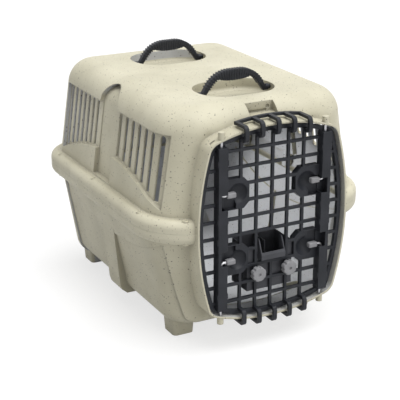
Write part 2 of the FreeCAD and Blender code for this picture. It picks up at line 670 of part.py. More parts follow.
def door_grid_shape(taken):
    """Frame and bars, less the space that the bolt housings take."""
    frame = size("door_frame")
    ring = barrel(0, DOOR_Y, DOOR_Y + frame).cut(barrel(-frame, DOOR_Y - 1, DOOR_Y + frame + 1))
    field = barrel(-frame / 2, DOOR_Y, DOOR_Y + size("bar_depth"))
    cells = Part.makeCompound(grid_cells()).common(barrel(-frame, DOOR_Y - 31, DOOR_Y + 31))
    added = [ring]
    cuts = list(taken)
    for sx in (-1, 1):
        boss_x = sx * size("column_pitch")
        boss_z = MID - size("knob_drop")
        added.append(rod(9.0, Vector(boss_x, DOOR_Y, boss_z), Vector(boss_x, DOOR_Y + 6, boss_z)))
        cuts.append(rod(size("stud_diameter") / 2 + size("easy_gap"), Vector(boss_x, DOOR_Y - 5, boss_z),
                        Vector(boss_x, DOOR_Y + 12, boss_z)))
        cuts += bolt_bores(sx)
    return fuse_all(field.cut(cells), added).cut(cuts)


# Document objects for the forms above
def form(label, shape):
    node = doc.addObject("Part::Feature", label)
    node.Label = label
    node.Shape = shape
    return node


nodes = {}
nodes["upper_shell"] = form("upper_shell", upper_shell_shape())
nodes["lower_shell"] = form("lower_shell", lower_shell_shape())
taken_by_housings = []
for label, sx in (("left_bolt_housing", -1), ("right_bolt_housing", 1)):
    housing, envelope = bolt_housing(sx)
    nodes[label] = form(label, housing)
    taken_by_housings += envelope
nodes["door_grid"] = form("door_grid", door_grid_shape(taken_by_housings))
nodes["top_finger_comb"] = form("top_finger_comb", finger_comb(1))
nodes["bottom_finger_comb"] = form("bottom_finger_comb", finger_comb(-1))


# Sketch and feature helpers
def new_body(label):
    body = doc.addObject("PartDesign::Body", label)
    body.Label = label
    nodes[label] = body
    return body


def sketch_on(body, name, role, lift=None):
    """Sketch on one of the body's own planes, moved along the plane's normal by an expression."""
    sketch = body.newObject("Sketcher::SketchObject", name)
    plane = [f for f in body.Origin.OriginFeatures if f.Role == role][0]
    sketch.AttachmentSupport = (plane, [""])
    sketch.MapMode = "FlatFace"
    if lift:
        sketch.setExpression("AttachmentOffset.Base.z", lift)
    return sketch


def bind(sketch, index, expression):
    name = "size%d" % index
    sketch.renameConstraint(index, name)
    sketch.setExpression("Constraints." + name, expression)


def circle(sketch, diameter, x=None, y=None):
    """Circle with its diameter, and its centre's offsets where given, taken from expressions."""
    index = sketch.addGeometry(Part.Circle(Vector(1, 1, 0), Vector(0, 0, 1), 2.0), False)
    bind(sketch, sketch.addConstraint(Sketcher.Constraint("Diameter", index, 4.0)), diameter)
    for kind, offset in (("DistanceX", x), ("DistanceY", y)):
        place = sketch.addConstraint(Sketcher.Constraint(kind, -1, 1, index, 3, 1.0))
        if offset:
            bind(sketch, place, offset)
        else:
            sketch.setDatum(place, 0.0)
    return index


def rectangle(sketch, x0, y0, x1, y1):
    """Rectangle whose four sides are placed from the sketch's origin by expressions."""
    corners = [Vector(1, 1, 0), Vector(9, 1, 0), Vector(9, 9, 0), Vector(1, 9, 0)]
    first = sketch.GeometryCount
    for a, b in zip(corners, corners[1:] + corners[:1]):
        sketch.addGeometry(Part.LineSegment(a, b), False)
    for i in range(4):
        sketch.addConstraint(Sketcher.Constraint("Coincident", first + i, 2, first + (i + 1) % 4, 1))
        sketch.addConstraint(Sketcher.Constraint(("Horizontal", "Vertical")[i % 2], first + i))
    corners = ((0, "DistanceX", x0), (0, "DistanceY", y0), (2, "DistanceX", x1), (2, "DistanceY", y1))
    for corner, kind, value in corners:
        bind(sketch, sketch.addConstraint(Sketcher.Constraint(kind, -1, 1, first + corner, 1, 5.0)), value)


def pad(body, sketch, name, length, symmetric=False, reverse=False):
    feature = body.newObject("PartDesign::Pad", name)
    feature.Profile = sketch
    feature.setExpression("Length", length)
    feature.SideType = "Symmetric" if symmetric else "One side"
    feature.Reversed = reverse
    body.Tip = feature
    return feature


def pocket(body, sketch, name, length, symmetric=False, reverse=False):
    feature = body.newObject("PartDesign::Pocket", name)
    feature.Profile = sketch
    feature.setExpression("Length", length)
    feature.SideType = "Symmetric" if symmetric else "One side"
    feature.Reversed = reverse
    body.Tip = feature
    return feature


def round_edges(body, name, radius, chosen):
    """Fillet on the edges of the body so far that the test picks out."""
    doc.recompute()
    base = body.Tip
    names = ["Edge%d" % (i + 1) for i, e in enumerate(base.Shape.Edges) if chosen(e)]
    feature = body.newObject("PartDesign::Fillet", name)
    feature.Base = (base, names)
    feature.setExpression("Radius", radius)
    body.Tip = feature
    return feature


def upright(edge):
    a, b = edge.Vertexes[0].Point, edge.Vertexes[-1].Point
    return len(edge.Vertexes) == 2 and abs(a.x - b.x) < 0.01 and abs(a.y - b.y) < 0.01


# Rim screws and nuts
def rim_screw():
    body = new_body("rim_screws")
    head = sketch_on(body, "HeadPlan", "XY_Plane")
    circle(head, "Sizes.screw_head")
    pad(body, head, "Head", "Sizes.head_height")
    shank = sketch_on(body, "ShankPlan", "XY_Plane")
    circle(shank, "Sizes.screw_diameter")
    pad(body, shank, "Shank", "Sizes.rim_height - Sizes.head_height - 1", reverse=True)
    slot = sketch_on(body, "SlotPlan", "XY_Plane", "Sizes.head_height")
    rectangle(slot, "-Sizes.screw_head * 0.36", "-1", "Sizes.screw_head * 0.36", "1")
    pocket(body, slot, "Slot", "Sizes.head_height * 0.6")
    return body


def rim_nut():
    body = new_body("rim_nuts")
    plan = sketch_on(body, "NutPlan", "XY_Plane")
    turns = [math.radians(60 * i) for i in range(6)]
    points = [Vector(6 * math.cos(turn), 6 * math.sin(turn), 0) for turn in turns]
    for a, b in zip(points, points[1:] + points[:1]):
        plan.addGeometry(Part.LineSegment(a, b), False)
    guide = plan.addGeometry(Part.Circle(Vector(0, 0, 0), Vector(0, 0, 1), 6.0), True)
    plan.addConstraint(Sketcher.Constraint("Coincident", guide, 3, -1, 1))
    for i in range(6):
        plan.addConstraint(Sketcher.Constraint("Coincident", i, 2, (i + 1) % 6, 1))
        plan.addConstraint(Sketcher.Constraint("PointOnObject", i, 1, guide))
    for i in range(1, 6):
        plan.addConstraint(Sketcher.Constraint("Equal", 0, i))
    plan.addConstraint(Sketcher.Constraint("PointOnObject", 0, 1, -1))
    corner_width = plan.addConstraint(Sketcher.Constraint("Diameter", guide, 12.0))
    bind(plan, corner_width, "Sizes.nut_flats * 2 / sqrt(3)")
    pad(body, plan, "Nut", "Sizes.nut_height")
    bore = sketch_on(body, "BorePlan", "XY_Plane")
    circle(bore, "Sizes.screw_diameter + 2 * Sizes.easy_gap")
    pocket(body, bore, "Bore", "Sizes.nut_height", reverse=True)
    return body


# Bail handles: a flat arch with a thicker middle, ribs all along it and a trunnion at each foot
def bail_line():
    """Lean of the legs, the leg's outward normal, and the middle of the right-hand corner."""
    lean = math.radians(size("handle_slant"))
    normal = Vector(math.cos(lean), 0, math.sin(lean))
    corner_r = size("handle_corner")
    centre_z = size("handle_rise") - corner_r
    centre_x = (size("handle_width") / 2 * normal.x - corner_r - centre_z * normal.z) / normal.x
    return lean, normal, Vector(centre_x, 0, centre_z)


def bail_arch(grow):
    """Band of the bail, thickened all round: slanted legs, round corners and a straight top."""
    _, normal, centre = bail_line()
    foot = -size("pivot_diameter") / 2 - 1.5
    depth = size("handle_depth") + 2 * grow
    up = Vector(0, 0, 1)

    def edge_run(offset):
        radius = size("handle_corner") + offset
        foot_x = (size("handle_width") / 2 * normal.x + offset - foot * normal.z) / normal.x
        right = [Vector(foot_x, 0, foot), centre + normal * radius,
                 centre + (normal + up).normalize() * radius, centre + up * radius]
        left = [Vector(-p.x, 0, p.z) for p in right]
        return [
            Part.makeLine(right[0], right[1]),
            Part.Arc(right[1], right[2], right[3]).toShape(),
            Part.makeLine(right[3], left[3]),
            Part.Arc(left[3], left[2], left[1]).toShape(),
            Part.makeLine(left[1], left[0]),
        ], right[0], left[0]

    outer, outer_right, outer_left = edge_run(grow)
    inner, inner_right, inner_left = edge_run(-size("handle_band") - grow)
    feet = [Part.makeLine(outer_left, inner_left), Part.makeLine(inner_right, outer_right)]
    outline = Part.Wire(Part.__sortEdges__(outer + inner + feet))
    arch = Part.Face(outline).extrude(Vector(0, depth, 0))
    arch.translate(Vector(0, -depth / 2, 0))
    return arch


def bail_belly(grow):
    """Thicker middle of the grip."""
    half = size("handle_belly")
    top_z = size("handle_rise") - size("handle_band") / 2
    low = size("handle_rise") - size("handle_band") - size("handle_sag") - grow
    end_z = low + size("handle_sag") * 0.4
    depth = size("handle_depth") * 0.9 + 2 * grow
    edges = [
        Part.Arc(Vector(-half, 0, end_z), Vector(0, 0, low), Vector(half, 0, end_z)).toShape(),
        Part.makeLine(Vector(half, 0, end_z), Vector(half - 2, 0, top_z - 3)),
        Part.makeLine(Vector(half - 2, 0, top_z - 3), Vector(2 - half, 0, top_z - 3)),
        Part.makeLine(Vector(2 - half, 0, top_z - 3), Vector(-half, 0, end_z)),
    ]
    belly = Part.Face(Part.Wire(edges)).extrude(Vector(0, depth, 0))
    belly.translate(Vector(0, -depth / 2, 0))
    return belly


def rib_slabs():
    """Thin slabs square to the bail's line, evenly spaced from the middle of the top down both legs."""
    lean, normal, centre = bail_line()
    pitch = size("rib_pitch")
    band = size("handle_band")
    mid_r = size("handle_corner") - band / 2
    bend = math.pi / 2 - lean
    leg_top = centre + normal * mid_r
    along_leg = Vector(-normal.z, 0, normal.x)
    leg_run = (leg_top.z - size("pivot_diameter")) / normal.x
    places = []
    for i in range(int((centre.x + mid_r * bend + leg_run) / pitch) + 1):
        run = i * pitch
        turn = min(max(run - centre.x, 0) / mid_r, bend)
        if run <= centre.x:
            spot = Vector(run, 0, centre.z + mid_r)
        elif turn < bend:
            spot = centre + Vector(math.sin(turn), 0, math.cos(turn)) * mid_r
        else:
            spot = leg_top - along_leg * (run - centre.x - mid_r * bend)
        places.append((spot, turn))
        if i:
            places.append((Vector(-spot.x, 0, spot.z), -turn))
    slabs = []
    for spot, turn in places:
        half = size("rib_width") / 2
        depth = size("handle_depth")
        slab = box(-half, half, -depth, depth, -band / 2 - size("handle_sag") - 3, band / 2 + 4)
        slab.rotate(Vector(0, 0, 0), Vector(0, 1, 0), math.degrees(turn))
        slab.translate(spot)
        slabs.append(slab)
    return slabs


def bail_shape():
    half = size("handle_width") / 2
    arch = bail_arch(0)
    long_edges = [e for e in arch.Edges if e.BoundBox.YLength < 0.01 and e.Length > size("handle_band") * 1.2]
    arch = arch.makeFillet(size("handle_band") * 0.28, long_edges)
    rib = size("handle_rib")
    ribs = [bail_arch(rib).fuse(bail_belly(rib)).common(slab) for slab in rib_slabs()]
    tip = size("recess_length") / 2 + 8
    pin_r = size("pivot_diameter") / 2
    pins = []
    for side in (-1, 1):
        pins.append(rod(pin_r, Vector(side * (half - 3), 0, 0), Vector(side * tip, 0, 0)))
        pins.append(rod(pin_r + 2, Vector(side * (half - 2), 0, 0), Vector(side * (half + 4), 0, 0)))
    return fuse_all(arch, [bail_belly(0)] + ribs + pins)


bail = bail_shape()
for end, y in HANDLE_YS.items():
    node = form(end + "_handle", bail)
    node.Placement.Base = Vector(0, y, PIVOT_Z)
    nodes[node.Label] = node
screw = rim_screw()
nut = rim_nut()


# Bolt covers: flat plates with snap tabs and a window beside each bolt leg
def bolt_cover(label, sx):
    body = new_body(label)
    plate = sketch_on(body, label + "_plan", "XZ_Plane")
    rectangle(plate, "-Sizes.channel_width / 2", "-Sizes.channel_half",
              "Sizes.channel_width / 2", "Sizes.channel_half")
    pad(body, plate, label + "_plate", "3")
    tabs = sketch_on(body, label + "_tab_plan", "XZ_Plane")
    for z in (-0.82, -0.12, 0.12, 0.82):
        rectangle(tabs, "-Sizes.channel_width / 2 - 1.8", "Sizes.channel_half * %g - 5" % z,
                  "Sizes.channel_width / 2 + 1.8", "Sizes.channel_half * %g + 5" % z)
    pad(body, tabs, label + "_tabs", "2.2")
    windows = sketch_on(body, label + "_window_plan", "XZ_Plane")
    low = "(Sizes.bolt_leg - Sizes.bolt_travel - Sizes.bolt_diameter / 2 - 1.5)"
    high = "(Sizes.bolt_leg + Sizes.bolt_diameter / 2 + 1.5)"
    rectangle(windows, "-Sizes.channel_width", low, "3.5", high)
    rectangle(windows, "-Sizes.channel_width", "-" + high, "3.5", "-" + low)
    pocket(body, windows, label + "_windows", "20", symmetric=True)
    turn = 0 if sx > 0 else 180
    body.Placement = FreeCAD.Placement(Vector(sx * size("bolt_x"), DOOR_Y - 9, MID),
                                       FreeCAD.Rotation(Vector(0, 1, 0), turn))


# Bolts, with their collars, springs and grips: the same pieces in four places
CORNERS = {
    "top_left": (-1, 1, FreeCAD.Rotation()),
    "top_right": (1, 1, FreeCAD.Rotation(Vector(0, 0, 1), 180)),
    "bottom_left": (-1, -1, FreeCAD.Rotation(Vector(1, 0, 0), 180)),
    "bottom_right": (1, -1, FreeCAD.Rotation(Vector(0, 1, 0), 180)),
}


def corner_place(corner):
    sx, sz, turn = CORNERS[corner]
    return FreeCAD.Placement(Vector(sx * size("bolt_x"), BOLT_Y, MID + sz * size("bolt_leg")), turn)


def bolt(corner):
    """Rod along Z from its bend, with a leg along X towards the door's middle."""
    label = corner + "_bolt"
    body = new_body(label)
    bend = 7.0
    leg = size("bolt_x") - 88.0
    length = size("bolt_tip") - size("bolt_leg")
    slant = bend * (1 - math.sqrt(0.5))
    path = sketch_on(body, label + "_path", "XZ_Plane")
    path.addGeometry([
        Part.LineSegment(Vector(0, length, 0), Vector(0, bend, 0)),
        Part.Arc(Vector(0, bend, 0), Vector(slant, slant, 0), Vector(bend, 0, 0)),
        Part.LineSegment(Vector(bend, 0, 0), Vector(leg, 0, 0)),
    ], False)
    end = sketch_on(body, label + "_end", "XY_Plane", "Sizes.bolt_tip - Sizes.bolt_leg")
    circle(end, "Sizes.bolt_diameter")
    doc.recompute()
    sweep = body.newObject("PartDesign::AdditivePipe", label + "_rod")
    sweep.Profile = end
    sweep.Spine = (path, ["Edge1", "Edge2", "Edge3"])
    body.Tip = sweep
    doc.recompute()
    tips = ["Edge%d" % (i + 1) for i, e in enumerate(sweep.Shape.Edges) if e.BoundBox.ZMin > length - 0.01]
    nose = body.newObject("PartDesign::Chamfer", label + "_nose")
    nose.Base = (sweep, tips)
    nose.setExpression("Size", "Sizes.bolt_diameter / 5")
    body.Tip = nose
    body.Placement = corner_place(corner)


def grip(corner):
    label = corner + "_grip"
    body = new_body(label)
    plan = sketch_on(body, label + "_plan", "XY_Plane")
    near = "Sizes.bolt_x - 84 - Sizes.grip_length"
    rectangle(plan, near, "-Sizes.grip_depth / 2", "Sizes.bolt_x - 84", "Sizes.grip_depth / 2")
    pad(body, plan, label + "_block", "Sizes.grip_height", symmetric=True)
    round_edges(body, label + "_soft", "Sizes.grip_height * 0.28", lambda e: True)
    bore = sketch_on(body, label + "_bore_plan", "YZ_Plane", near)
    circle(bore, "Sizes.bolt_diameter + 2 * Sizes.easy_gap")
    pocket(body, bore, label + "_bore", "Sizes.grip_length - 4", reverse=True)
    body.Placement = corner_place(corner)


def collar(corner):
    label = corner + "_collar"
    body = new_body(label)
    collar_height = "Sizes.spring_seat + Sizes.spring_length - Sizes.bolt_leg"
    ring = sketch_on(body, label + "_plan", "XY_Plane", collar_height)
    circle(ring, "Sizes.collar_diameter")
    circle(ring, "Sizes.bolt_diameter + 2 * Sizes.easy_gap")
    pad(body, ring, label + "_ring", "Sizes.collar_length")
    body.Placement = corner_place(corner)


def helix_point(angle, rise):
    radius = size("spring_radius")
    return Vector(radius * math.cos(angle), radius * math.sin(angle), rise * angle / (2 * math.pi))


def helix_tangent(angle, rise):
    radius = size("spring_radius")
    return Vector(-radius * math.sin(angle), radius * math.cos(angle), rise / (2 * math.pi)).normalize()


def tangent_arc(start, control, end):
    """Arc from start to end whose end tangents meet at the control point."""
    weight = (end - start).Length / (2 * (control - start).Length)
    middle = (start + end + control * (2 * weight)) * (1 / (2 + 2 * weight))
    return Part.Arc(start, middle, end).toShape()


def spring_shape():
    wire_d = size("spring_wire")
    rise = (size("spring_length") - wire_d - 0.2) / size("spring_turns")
    quarter = math.pi / 2
    edges = []
    for i in range(int(round(size("spring_turns") * 4))):
        a, b = i * quarter, (i + 1) * quarter
        start, end = helix_point(a, rise), helix_point(b, rise)
        t0, t1 = helix_tangent(a, rise), helix_tangent(b, rise)
        chord = end - start
        lean = chord.dot(t0 + t1)
        square = 2 * (t0.dot(t1) - 1)
        reach = (lean - math.sqrt(lean ** 2 - square * chord.Length ** 2)) / square
        first, second = start + t0 * reach, end - t1 * reach
        joint = (first + second) * 0.5
        edges += [tangent_arc(start, first, joint), tangent_arc(joint, second, end)]
    path = Part.Wire(edges)
    ring = Part.Wire(Part.makeCircle(wire_d / 2, helix_point(0, rise), helix_tangent(0, rise)))
    coil = path.makePipeShell([ring], True, False)
    print("spring gap to itself %.2f mm" % (rise - wire_d))
    return coil


def spring(corner, shape):
    node = form(corner + "_spring", shape)
    lift = size("spring_seat") + size("spring_wire") / 2 + 0.1 - size("bolt_leg")
    place = corner_place(corner)
    node.Placement = place.multiply(FreeCAD.Placement(Vector(0, 0, lift), FreeCAD.Rotation()))
    nodes[node.Label] = node


bolt_cover("left_bolt_cover", -1)
bolt_cover("right_bolt_cover", 1)
coil_shape = spring_shape()
for corner in CORNERS:
    bolt(corner)
    grip(corner)
    collar(corner)
    spring(corner, coil_shape)


# Feed cup: two compartments, and a spout that reaches through the door
def feed_cup():
    body = new_body("feed_cup")
    plan = sketch_on(body, "CupPlan", "XY_Plane")
    rectangle(plan, "-Sizes.cup_width / 2", "0", "Sizes.cup_width / 2", "Sizes.cup_depth")
    pad(body, plan, "CupBlock", "Sizes.cup_height")
    back = size("cup_depth")
    round_edges(body, "CupCorners", "Sizes.cup_round", lambda e: upright(e) and e.CenterOfMass.y > back / 2)
    wells = sketch_on(body, "WellPlan", "XY_Plane", "Sizes.cup_height")
    rectangle(wells, "-Sizes.cup_width / 2 + Sizes.cup_wall", "Sizes.cup_wall + 3", "-Sizes.cup_wall / 2",
              "Sizes.cup_depth - Sizes.cup_wall")
    rectangle(wells, "Sizes.cup_wall / 2", "Sizes.cup_wall + 3", "Sizes.cup_width / 2 - Sizes.cup_wall",
              "Sizes.cup_depth - Sizes.cup_wall")
    pocket(body, wells, "Wells", "Sizes.cup_height - Sizes.cup_wall")
    half = size("cup_width") / 2 - size("cup_wall")

    def well_corner(edge):
        middle = edge.CenterOfMass
        return upright(edge) and abs(abs(middle.x) - half) < 0.1 and middle.y > back - size("cup_round")

    round_edges(body, "WellCorners", "Sizes.cup_round - Sizes.cup_wall", well_corner)
    spout = sketch_on(body, "SpoutPlan", "XY_Plane", "Sizes.cup_height - Sizes.spout_drop")
    rectangle(spout, "-Sizes.column_pitch + 8", "-Sizes.spout_reach", "Sizes.column_pitch - 8", "6")
    pad(body, spout, "Spout", "Sizes.spout_height")
    mouth = sketch_on(body, "MouthPlan", "XY_Plane", "Sizes.cup_height - Sizes.spout_drop + Sizes.cup_wall")
    rectangle(mouth, "-Sizes.column_pitch + 8 + Sizes.cup_wall", "-Sizes.spout_reach + Sizes.cup_wall",
              "Sizes.column_pitch - 8 - Sizes.cup_wall", "20")
    pocket(body, mouth, "Mouth", "Sizes.spout_height + 2", reverse=True)
    slope = sketch_on(body, "SpoutSlope", "YZ_Plane")
    under = size("cup_height") - size("spout_drop")
    low, high = under + size("spout_lip"), under + size("spout_height") + 1
    near, far = -size("spout_reach") - 1, -1
    corners = [Vector(near, low, 0), Vector(far, high, 0), Vector(near, high, 0)]
    slope.addGeometry([Part.LineSegment(a, b) for a, b in zip(corners, corners[1:] + corners[:1])], False)
    pocket(body, slope, "SpoutCheeks", "Sizes.column_pitch * 4", symmetric=True)
    bores = sketch_on(body, "StudBores", "XZ_Plane")
    drop = "Sizes.cup_height + Sizes.cup_top_drop - Sizes.knob_drop"
    circle(bores, "Sizes.stud_diameter + 2 * Sizes.easy_gap", "Sizes.column_pitch", drop)
    circle(bores, "Sizes.stud_diameter + 2 * Sizes.easy_gap", "-Sizes.column_pitch", drop)
    pocket(body, bores, "StudBoreCut", "20", symmetric=True)
    cup_bottom = MID - size("cup_top_drop") - size("cup_height")
    body.Placement.Base = Vector(0, DOOR_Y + size("bar_depth"), cup_bottom)


def cup_stud(label, sx):
    """Flat-headed stud through the cup's front wall and the door, pointing forwards."""
    body = new_body(label)
    head = sketch_on(body, label + "_head_plan", "XZ_Plane")
    circle(head, "Sizes.stud_diameter * 2")
    pad(body, head, label + "_head", "3", reverse=True)
    shank = sketch_on(body, label + "_shank_plan", "XZ_Plane")
    circle(shank, "Sizes.stud_diameter")
    pad(body, shank, label + "_shank", "Sizes.cup_wall + 3 + Sizes.bar_depth + Sizes.knob_length - 2")
    head_y = DOOR_Y + size("bar_depth") + size("cup_wall") + 3
    body.Placement.Base = Vector(sx * size("column_pitch"), head_y, MID - size("knob_drop"))


def clamp_knob(label, sx):
    """Fluted thumb nut on the door's front."""
    body = new_body(label)
    base = sketch_on(body, label + "_base_plan", "XZ_Plane")
    circle(base, "Sizes.knob_diameter * 0.62")
    pad(body, base, label + "_base", "Sizes.knob_length * 0.35")
    cap = sketch_on(body, label + "_cap_plan", "XZ_Plane", "Sizes.knob_length * 0.3")
    circle(cap, "Sizes.knob_diameter")
    pad(body, cap, label + "_cap", "Sizes.knob_length * 0.7")
    rim = size("knob_diameter") / 2
    front = size("knob_length")

    def front_rim(edge):
        span = edge.BoundBox
        return abs(span.YMin + front) < 0.01 and span.YLength < 0.01 and span.XMax > rim - 0.1

    round_edges(body, label + "_soft", "Sizes.knob_length * 0.15", front_rim)
    flute = sketch_on(body, label + "_flute_plan", "XZ_Plane")
    circle(flute, "Sizes.knob_diameter * 0.22", "Sizes.knob_diameter * 0.55")
    cut = pocket(body, flute, label + "_flute", "Sizes.knob_length * 3", symmetric=True)
    flutes = body.newObject("PartDesign::PolarPattern", label + "_flutes")
    flutes.Originals = [cut]
    flutes.Axis = (flute, ["N_Axis"])
    flutes.Angle = 360
    flutes.Occurrences = 8
    body.Tip = flutes
    bore = sketch_on(body, label + "_bore_plan", "XZ_Plane")
    circle(bore, "Sizes.stud_diameter + 2 * Sizes.running_gap")
    pocket(body, bore, label + "_bore", "Sizes.knob_length * 3", symmetric=True)
    knob_z = MID - size("knob_drop")
    body.Placement.Base = Vector(sx * size("column_pitch"), DOOR_Y - size("easy_gap"), knob_z)


feed_cup()
for name, sx in (("left", -1), ("right", 1)):
    cup_stud(name + "_cup_stud", sx)
    clamp_knob(name + "_clamp_knob", sx)

doc.recompute()


def repeated(master, z):
    """Group of copies of one small piece at the rim screw places."""
    copies = []
    for x, y in screw_places():
        copy = master.Shape.copy()
        copy.translate(Vector(x, y, z))
        copies.append(copy)
    return Part.makeCompound(copies)


def group_node(master, z):
    label = master.Label
    master.Label = label + "_master"
    node = form(label, repeated(master, z))
    node.Label = label
    nodes[label] = node


group_node(screw, RIM_TOP - size("head_height"))
group_node(nut, RIM_BOTTOM)
doc.recompute()

# Checks and files
os.makedirs("parts", exist_ok=True)
for thing in doc.Objects:
    if "Invalid" in thing.State or "Error" in thing.State:
        raise RuntimeError("%s did not build: %s" % (thing.Label, thing.State))
for label, node in nodes.items():
    shape = node.Shape
    if shape.isNull() or not shape.isValid():
        raise RuntimeError("%s has no valid shape" % label)
    print("%-22s solids %d  volume %9.1f cm3" % (label, len(shape.Solids), shape.Volume / 1000))
    shape.exportStep("parts/%s.step" % label)
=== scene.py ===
import json
import math

import bpy
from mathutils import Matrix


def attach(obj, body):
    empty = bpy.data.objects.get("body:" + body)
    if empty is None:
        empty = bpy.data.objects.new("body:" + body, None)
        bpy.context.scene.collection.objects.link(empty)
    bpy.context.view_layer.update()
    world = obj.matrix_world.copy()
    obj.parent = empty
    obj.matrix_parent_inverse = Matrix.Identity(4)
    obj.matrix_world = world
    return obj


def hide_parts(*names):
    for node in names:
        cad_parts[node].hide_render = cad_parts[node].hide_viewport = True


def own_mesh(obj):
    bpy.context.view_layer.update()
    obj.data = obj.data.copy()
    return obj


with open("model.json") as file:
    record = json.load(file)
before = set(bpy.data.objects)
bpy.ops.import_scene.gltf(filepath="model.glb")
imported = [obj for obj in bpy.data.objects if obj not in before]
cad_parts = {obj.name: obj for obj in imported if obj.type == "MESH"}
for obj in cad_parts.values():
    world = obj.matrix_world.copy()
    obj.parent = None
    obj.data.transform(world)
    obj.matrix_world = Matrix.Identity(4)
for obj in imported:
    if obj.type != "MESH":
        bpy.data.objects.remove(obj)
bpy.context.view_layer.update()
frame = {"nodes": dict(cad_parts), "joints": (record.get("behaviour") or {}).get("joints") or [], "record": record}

# Camera at the photograph's viewing angle, in metres and degrees; lens and sensor in millimetres
CAMERA_PLACE = (-1.1257, -2.1221, 1.0959)
CAMERA_TURN = (69.683, 0.0, -27.876)
CAMERA_LENS = 106.16
CAMERA_SENSOR = 36.0

# Colours as linear light
CREAM = (0.725, 0.690, 0.535, 1)
CREAM_PALE = (0.79, 0.76, 0.615, 1)
CREAM_DULL = (0.62, 0.588, 0.447, 1)
# Painted shade for the hollows and recesses of the shell
CREAM_PAINTED_SHADE = (0.30, 0.28, 0.22, 1)
SPECK = (0.055, 0.042, 0.032, 1)
SPECK_PALE = (0.28, 0.23, 0.165, 1)
CHARCOAL = (0.019, 0.021, 0.026, 1)
CHARCOAL_PALE = (0.030, 0.032, 0.039, 1)
CHARCOAL_WORN = (0.075, 0.08, 0.092, 1)
CUP = (0.060, 0.062, 0.070, 1)
CUP_PALE = (0.078, 0.080, 0.090, 1)
GREY = (0.34, 0.34, 0.352, 1)
GREY_DULL = (0.27, 0.27, 0.283, 1)
GREY_WORN = (0.46, 0.46, 0.47, 1)
STEEL = (0.56, 0.56, 0.57, 1)
STEEL_DULL = (0.40, 0.40, 0.42, 1)
# Painted shade for narrow creases and slots
CREASE_PAINTED_SHADE = (0.05, 0.045, 0.04, 1)
# Bluish grey painted shade for the faces inside the cabin
CABIN_PAINTED_SHADE = (0.56, 0.57, 0.585, 1)
WHITE = (1.0, 1.0, 1.0, 1)
FLOOR_SEEN = (0.36, 0.36, 0.36, 1)
FLOOR_BOUNCE = (0.46, 0.46, 0.46, 1)

# In the finishes, sizes, depths, reaches and radii are in metres. A span is the part of a noise, angle or
# shading value that is mapped onto a mask, and a share is how much of a colour the mask lets through.
FULL = (0.0, 1.0)
GLOSS_SPAN = (0.3, 0.7)
EDGE_SPAN = (0.985, 0.80)
EDGE_SAMPLES = 6
GRAIN_DETAIL = 2.0

# Speckled plastic of the shells and screws
SHELL_EDGE = 0.0028
SCREW_EDGE = 0.0005
SHELL_EDGE_SHARE = 0.45
SHELL_CLOUD_SIZE = 0.11
SHELL_CLOUD_SPAN = (0.35, 0.68)
SHELL_GRAIN = {"size": 0.0011, "depth": 0.0004, "strength": 0.10}
SHELL_GLOSS_SIZE = 0.02
SHELL_ROUGHNESS = (0.46, 0.60)
SHELL_SPECULAR = 0.35
# Painted shade: the shell darkens where its own faces close a place in within this reach
HOLLOW_SHADE = {"reach": 0.045, "span": (0.40, 0.90), "share": 0.85, "samples": 6, "only_local": True}
# Painted shade in narrow creases and slots, such as the screw slots
CREASE_SHADE = {"reach": 0.004, "span": (0.15, 0.55), "share": 0.55, "samples": 4}

# Layers of specks: spacing, largest radius, share of the cells that hold one, colour
SPECK_LAYERS = (
    (0.0045, 0.00080, 0.85, SPECK_PALE),
    (0.0075, 0.00120, 0.65, SPECK),
    (0.0240, 0.00170, 0.35, SPECK),
)
SMALLEST_SPECK = 0.45  # of the largest radius

# Shell faces turned towards the middle of the cabin get a bluish grey: painted shade of the cabin's inside
CABIN_MIDDLE = (0.0, 0.0, 0.25)
INSIDE_SPAN = (0.35, 0.6)

# Satin plastic of the door, handles, grips, cup and knobs
CHARCOAL_EDGE = 0.0012
GREY_EDGE = 0.0010
SATIN_CLOUD_SIZE = 0.03
SATIN_CLOUD_SPAN = (0.35, 0.7)
SCUFF_SIZE = 0.006
SCUFF_SPAN = (0.40, 0.65)
SCUFF_SHARES = (0.1, 0.7)
SATIN_GRAIN = {"size": 0.0009, "depth": 0.0003, "strength": 0.12}
SATIN_GLOSS_SIZE = 0.015
SATIN_ROUGHNESS = (0.38, 0.54)
SATIN_SPECULAR = 0.25

# Bare steel: its lines are drawn out where a streak factor is below 1
ROD_STREAK = (1.0, 1.0, 0.05)
WIRE_STREAK = (1.0, 1.0, 1.0)
LINE_SCALE = 2200.0
LINE_SPAN = (0.35, 0.65)
LINE_DEPTH = 0.0002
LINE_STRENGTH = 0.08
STEEL_ROUGHNESS = (0.24, 0.40)

# Stage: places and sizes in metres, angles in degrees
FLOOR_HALF = 60.0
FLOOR_GLOW = 0.70
WORLD_STRENGTH = 0.36
OVERHEAD_PLACE = (0.30, -0.6, 2.6)
OVERHEAD_ANGLE = 50.0
OVERHEAD_STRENGTH = 2.55
FRONT_PLACE = (0.7, -2.9, 0.8)
FRONT_AIM = (0.0, -0.3, 0.27)
FRONT_SIZE = 0.9
FRONT_WATTS = 10.0
CABIN_PLACE = (-0.17, 0.05, 0.30)
CABIN_AIM = (0.215, -0.03, 0.07)
CABIN_CONE = 84.0
CABIN_BLEND = 0.6
CABIN_SIZE = 0.03
CABIN_WATTS = 4.0


def placed(name, data):
    """New object in the scene."""
    made = bpy.data.objects.new(name, data)
    bpy.context.scene.collection.objects.link(made)
    return made


# Shader graphs
def empty_tree(owner):
    owner.use_nodes = True
    owner.node_tree.nodes.clear()
    return owner.node_tree


def add(tree, kind, inputs=None, **settings):
    """New node; an input may be a value or another node's output."""
    made = tree.nodes.new(kind)
    for name, value in settings.items():
        setattr(made, name, value)
    for key, value in (inputs or {}).items():
        if isinstance(value, bpy.types.NodeSocket):
            tree.links.new(value, made.inputs[key])
        else:
            made.inputs[key].default_value = value
    return made


